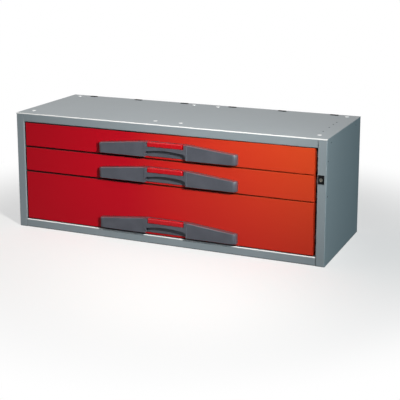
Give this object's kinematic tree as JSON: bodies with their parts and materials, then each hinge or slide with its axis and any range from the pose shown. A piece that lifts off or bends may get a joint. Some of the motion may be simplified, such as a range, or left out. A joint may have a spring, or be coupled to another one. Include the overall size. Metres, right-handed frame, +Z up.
{
  "type": "modular drawer cabinet",
  "caption": "Low wide modular tool cabinet: grey folded steel carcass, stacked red drawers on ball bearing slides, moulded handles with red release bars, and a key lock.",
  "frame": {"origin": "centre of the carcass's underside", "axes": "+X right along the front, +Y from the front to the rear, +Z up"},
  "size_m": [1, 0.376, 0.3658],
  "materials": {
    "grey_paint": "satin",
    "tray_paint": "satin",
    "red_paint": "satin",
    "handle_plastic": "matte",
    "red_plastic": "gloss",
    "black_plastic": "matte",
    "lock_chrome": "polished",
    "spring_steel": "brushed",
    "zinc_plate": "zinc plated"
  },
  "bodies": {
    "carcass": {"side_panel_left": "grey_paint", "side_panel_right": "grey_paint", "top_panel": "grey_paint", "bottom_panel": "grey_paint", "rear_panel": "grey_paint", "rivet_nuts": "zinc_plate", "latch_strikers": "zinc_plate", "lock_bezel": "black_plastic", "lock_nut": "zinc_plate", "lock_bar_guides": "black_plastic", "outer_rail_left_1": "zinc_plate", "outer_rail_right_1": "zinc_plate", "outer_rail_left_2": "zinc_plate", "outer_rail_right_2": "zinc_plate", "outer_rail_left_3": "zinc_plate", "outer_rail_right_3": "zinc_plate"},
    "lock_plug": {"lock_plug": "lock_chrome", "lock_cam": "zinc_plate"},
    "lock_bar": {"lock_bar": "zinc_plate"},
    "drawer_1": {"tray_1": "tray_paint", "drawer_front_1": "red_paint", "handle_1": "handle_plastic", "inner_rail_left_1": "zinc_plate", "inner_rail_right_1": "zinc_plate", "latch_brackets_1": "zinc_plate", "latch_spring_1": "spring_steel"},
    "middle_1": {"middle_rail_left_1": "zinc_plate", "middle_rail_right_1": "zinc_plate"},
    "outer_cages_1": {"outer_ball_cages_1": "zinc_plate"},
    "inner_cages_1": {"inner_ball_cages_1": "zinc_plate"},
    "release_1": {"release_bar_1": "red_plastic"},
    "latch_1": {"latch_shaft_1": "zinc_plate"},
    "drawer_2": {"tray_2": "tray_paint", "drawer_front_2": "red_paint", "handle_2": "handle_plastic", "inner_rail_left_2": "zinc_plate", "inner_rail_right_2": "zinc_plate", "latch_brackets_2": "zinc_plate", "latch_spring_2": "spring_steel"},
    "middle_2": {"middle_rail_left_2": "zinc_plate", "middle_rail_right_2": "zinc_plate"},
    "outer_cages_2": {"outer_ball_cages_2": "zinc_plate"},
    "inner_cages_2": {"inner_ball_cages_2": "zinc_plate"},
    "release_2": {"release_bar_2": "red_plastic"},
    "latch_2": {"latch_shaft_2": "zinc_plate"},
    "drawer_3": {"tray_3": "tray_paint", "drawer_front_3": "red_paint", "handle_3": "handle_plastic", "inner_rail_left_3": "zinc_plate", "inner_rail_right_3": "zinc_plate", "latch_brackets_3": "zinc_plate", "latch_spring_3": "spring_steel"},
    "middle_3": {"middle_rail_left_3": "zinc_plate", "middle_rail_right_3": "zinc_plate"},
    "outer_cages_3": {"outer_ball_cages_3": "zinc_plate"},
    "inner_cages_3": {"inner_ball_cages_3": "zinc_plate"},
    "release_3": {"release_bar_3": "red_plastic"},
    "latch_3": {"latch_shaft_3": "zinc_plate"}
  },
  "joints": [
    {"name": "lock_bar_drop", "type": "slide", "parent": "carcass", "child": "lock_bar", "axis": [0, 0, 1], "range_m": [-0.01131, 0]},
    {"name": "lock_turn", "type": "hinge", "parent": "carcass", "child": "lock_plug", "pos_m": [0.4846, -0.18, 0.2504], "axis": [0, -1, 0], "range_deg": [-90, 0]},
    {"name": "drawer_1_slide", "type": "slide", "parent": "carcass", "child": "drawer_1", "axis": [0, -1, 0], "range_m": [0, 0.3]},
    {"name": "middle_1_slide", "type": "slide", "parent": "carcass", "child": "middle_1", "axis": [0, -1, 0], "range_m": [0, 0.15]},
    {"name": "outer_cages_1_slide", "type": "slide", "parent": "carcass", "child": "outer_cages_1", "axis": [0, -1, 0], "range_m": [0, 0.075]},
    {"name": "inner_cages_1_slide", "type": "slide", "parent": "carcass", "child": "inner_cages_1", "axis": [0, -1, 0], "range_m": [0, 0.225]},
    {"name": "release_1_press", "type": "slide", "parent": "drawer_1", "child": "release_1", "axis": [0, 1, 0], "range_m": [0, 0.004], "stiffness_N_per_m": 500, "springref_m": -0.003},
    {"name": "latch_1_lift", "type": "hinge", "parent": "drawer_1", "child": "latch_1", "pos_m": [0, -0.168, 0.3251], "axis": [1, 0, 0], "range_deg": [0, 14.04]},
    {"name": "drawer_2_slide", "type": "slide", "parent": "carcass", "child": "drawer_2", "axis": [0, -1, 0], "range_m": [0, 0.3]},
    {"name": "middle_2_slide", "type": "slide", "parent": "carcass", "child": "middle_2", "axis": [0, -1, 0], "range_m": [0, 0.15]},
    {"name": "outer_cages_2_slide", "type": "slide", "parent": "carcass", "child": "outer_cages_2", "axis": [0, -1, 0], "range_m": [0, 0.075]},
    {"name": "inner_cages_2_slide", "type": "slide", "parent": "carcass", "child": "inner_cages_2", "axis": [0, -1, 0], "range_m": [0, 0.225]},
    {"name": "release_2_press", "type": "slide", "parent": "drawer_2", "child": "release_2", "axis": [0, 1, 0], "range_m": [0, 0.004], "stiffness_N_per_m": 500, "springref_m": -0.003},
    {"name": "latch_2_lift", "type": "hinge", "parent": "drawer_2", "child": "latch_2", "pos_m": [0, -0.168, 0.2473], "axis": [1, 0, 0], "range_deg": [0, 14.04]},
    {"name": "drawer_3_slide", "type": "slide", "parent": "carcass", "child": "drawer_3", "axis": [0, -1, 0], "range_m": [0, 0.3]},
    {"name": "middle_3_slide", "type": "slide", "parent": "carcass", "child": "middle_3", "axis": [0, -1, 0], "range_m": [0, 0.15]},
    {"name": "outer_cages_3_slide", "type": "slide", "parent": "carcass", "child": "outer_cages_3", "axis": [0, -1, 0], "range_m": [0, 0.075]},
    {"name": "inner_cages_3_slide", "type": "slide", "parent": "carcass", "child": "inner_cages_3", "axis": [0, -1, 0], "range_m": [0, 0.225]},
    {"name": "release_3_press", "type": "slide", "parent": "drawer_3", "child": "release_3", "axis": [0, 1, 0], "range_m": [0, 0.004], "stiffness_N_per_m": 500, "springref_m": -0.003},
    {"name": "latch_3_lift", "type": "hinge", "parent": "drawer_3", "child": "latch_3", "pos_m": [0, -0.168, 0.0917], "axis": [1, 0, 0], "range_deg": [0, 14.04]}
  ],
  "couplings": [
    {"joint": "lock_turn", "follows": "lock_bar_drop", "rad_per_m": 138.83},
    {"joint": "middle_1_slide", "follows": "drawer_1_slide", "ratio": 0.5},
    {"joint": "outer_cages_1_slide", "follows": "drawer_1_slide", "ratio": 0.25},
    {"joint": "inner_cages_1_slide", "follows": "drawer_1_slide", "ratio": 0.75},
    {"joint": "latch_1_lift", "follows": "release_1_press", "rad_per_m": 61.239},
    {"joint": "middle_2_slide", "follows": "drawer_2_slide", "ratio": 0.5},
    {"joint": "outer_cages_2_slide", "follows": "drawer_2_slide", "ratio": 0.25},
    {"joint": "inner_cages_2_slide", "follows": "drawer_2_slide", "ratio": 0.75},
    {"joint": "latch_2_lift", "follows": "release_2_press", "rad_per_m": 61.239},
    {"joint": "middle_3_slide", "follows": "drawer_3_slide", "ratio": 0.5},
    {"joint": "outer_cages_3_slide", "follows": "drawer_3_slide", "ratio": 0.25},
    {"joint": "inner_cages_3_slide", "follows": "drawer_3_slide", "ratio": 0.75},
    {"joint": "latch_3_lift", "follows": "release_3_press", "rad_per_m": 61.239}
  ]
}
